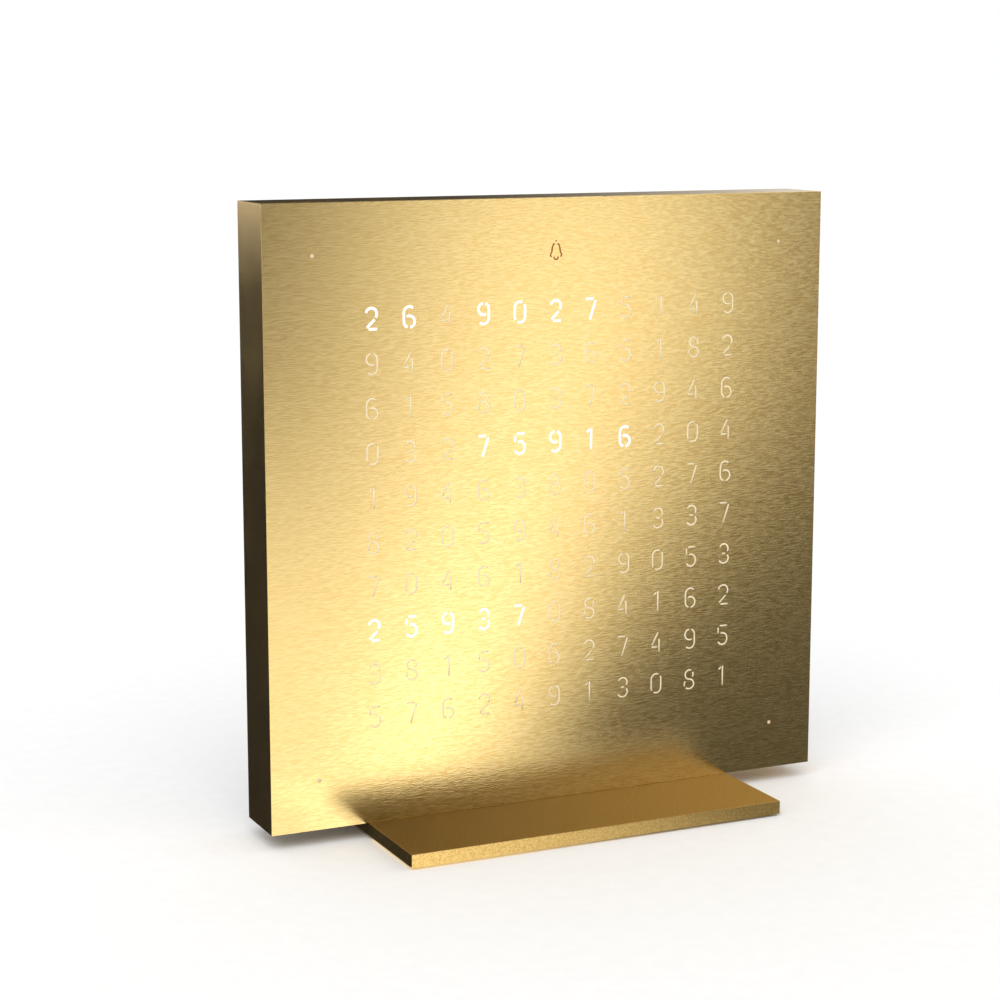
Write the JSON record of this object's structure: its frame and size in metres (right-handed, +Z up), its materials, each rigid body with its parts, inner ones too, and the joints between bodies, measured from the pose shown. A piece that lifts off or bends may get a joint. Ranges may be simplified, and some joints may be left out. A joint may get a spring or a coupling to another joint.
{
  "type": "word clock",
  "caption": "Square brushed-gold word clock with a back-lit grid of plain digits cut through its front, on a flat foot plate, with push buttons and a keyhole hanger on the back.",
  "frame": {"origin": "middle of the foot's underside, on the surface that the clock stands on", "axes": "+X to the right seen from the front, +Y from the front to the back, +Z up"},
  "size_m": [0.135, 0.066, 0.1385],
  "materials": {
    "gold_case": "brushed",
    "gold_plate": "brushed",
    "adhesive": "matte",
    "opal_acrylic": "satin",
    "white_moulding": "matte",
    "circuit_board": "satin",
    "led_package": "satin",
    "chip_plastic": "matte",
    "tinned_steel": "satin",
    "capacitor_can": "satin",
    "holder_plastic": "matte",
    "cell_steel": "polished",
    "sounder_plastic": "matte",
    "spring_bronze": "satin",
    "switch_steel": "satin",
    "plunger_plastic": "matte",
    "socket_plastic": "matte",
    "contact_brass": "polished",
    "screw_steel": "satin",
    "block_aluminium": "matte",
    "cover_plastic": "fine grain",
    "button_plastic": "satin",
    "foil_rubber": "matte"
  },
  "bodies": {
    "clock": {"front_housing": "gold_case", "base_plate": "gold_plate", "base_foil": "foil_rubber", "foot_bar": "block_aluminium", "base_screws": "screw_steel", "diffuser_tape": "adhesive", "diffuser": "opal_acrylic", "light_grid": "white_moulding", "led_board": "circuit_board", "leds": "led_package", "driver_chips": "chip_plastic", "controller_chip": "chip_plastic", "clock_crystal": "tinned_steel", "supply_capacitor": "capacitor_can", "cell_holder": "holder_plastic", "backup_cell": "cell_steel", "cell_clip": "tinned_steel", "sounder": "sounder_plastic", "touch_spring": "spring_bronze", "switch_housings": "switch_steel", "switch_leaves": "switch_steel", "power_socket": "socket_plastic", "socket_pin": "contact_brass", "cover_ledges": "block_aluminium", "screw_blocks": "block_aluminium", "rear_cover": "cover_plastic", "cover_screws": "screw_steel"},
    "hour_button": {"hour_button": "button_plastic", "hour_plunger": "plunger_plastic"},
    "minute_button": {"minute_button": "button_plastic", "minute_plunger": "plunger_plastic"},
    "alarm_button": {"alarm_button": "button_plastic", "alarm_plunger": "plunger_plastic"},
    "mode_button": {"mode_button": "button_plastic", "mode_plunger": "plunger_plastic"}
  },
  "joints": [
    {"name": "hour_press", "type": "slide", "parent": "clock", "child": "hour_button", "axis": [0, -1, 0], "range_m": [0, 0.0005], "stiffness_N_per_m": 700, "springref_m": -0.001},
    {"name": "minute_press", "type": "slide", "parent": "clock", "child": "minute_button", "axis": [0, -1, 0], "range_m": [0, 0.0005], "stiffness_N_per_m": 700, "springref_m": -0.001},
    {"name": "alarm_press", "type": "slide", "parent": "clock", "child": "alarm_button", "axis": [0, -1, 0], "range_m": [0, 0.0005], "stiffness_N_per_m": 700, "springref_m": -0.001},
    {"name": "mode_press", "type": "slide", "parent": "clock", "child": "mode_button", "axis": [0, -1, 0], "range_m": [0, 0.0005], "stiffness_N_per_m": 700, "springref_m": -0.001}
  ]
}
